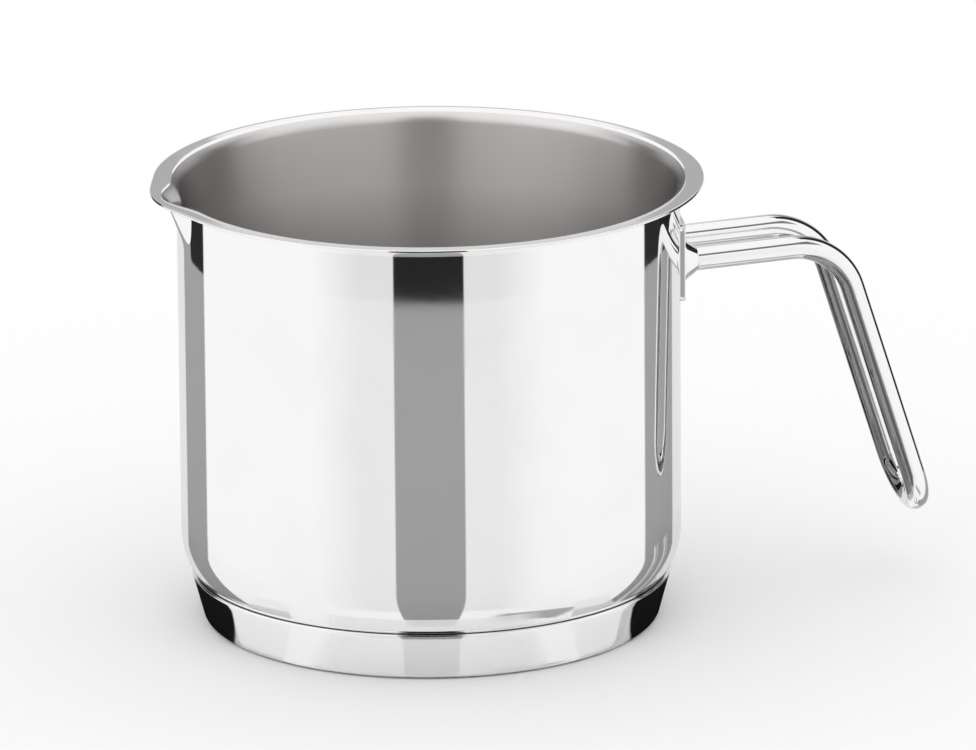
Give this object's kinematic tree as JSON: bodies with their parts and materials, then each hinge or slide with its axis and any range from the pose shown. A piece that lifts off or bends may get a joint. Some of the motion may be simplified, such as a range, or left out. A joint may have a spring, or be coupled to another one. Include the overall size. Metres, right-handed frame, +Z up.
{
  "type": "milk pan",
  "caption": "Small deep steel milk pan with a rim turned outwards for pouring, a pressed spout, a thick encapsulated base and a bent rod handle welded to the wall.",
  "frame": {"origin": "centre of the flat underside of the base, on the axis of the pot", "axes": "+Z up along the axis of the pot, +X towards the handle, the spout at -X"},
  "size_m": [0.2255, 0.1548, 0.1275],
  "materials": {
    "pot_steel": "mirror polished outside, satin inside",
    "base_steel": "mirror polished",
    "handle_steel": "mirror polished",
    "core_aluminium": "plain rolled"
  },
  "bodies": {
    "root": {"pan_body": "pot_steel", "base_cap": "base_steel", "base_core": "core_aluminium", "handle_plate": "handle_steel", "handle_rod": "handle_steel", "handle_weld_collars": "handle_steel"}
  },
  "joints": []
}
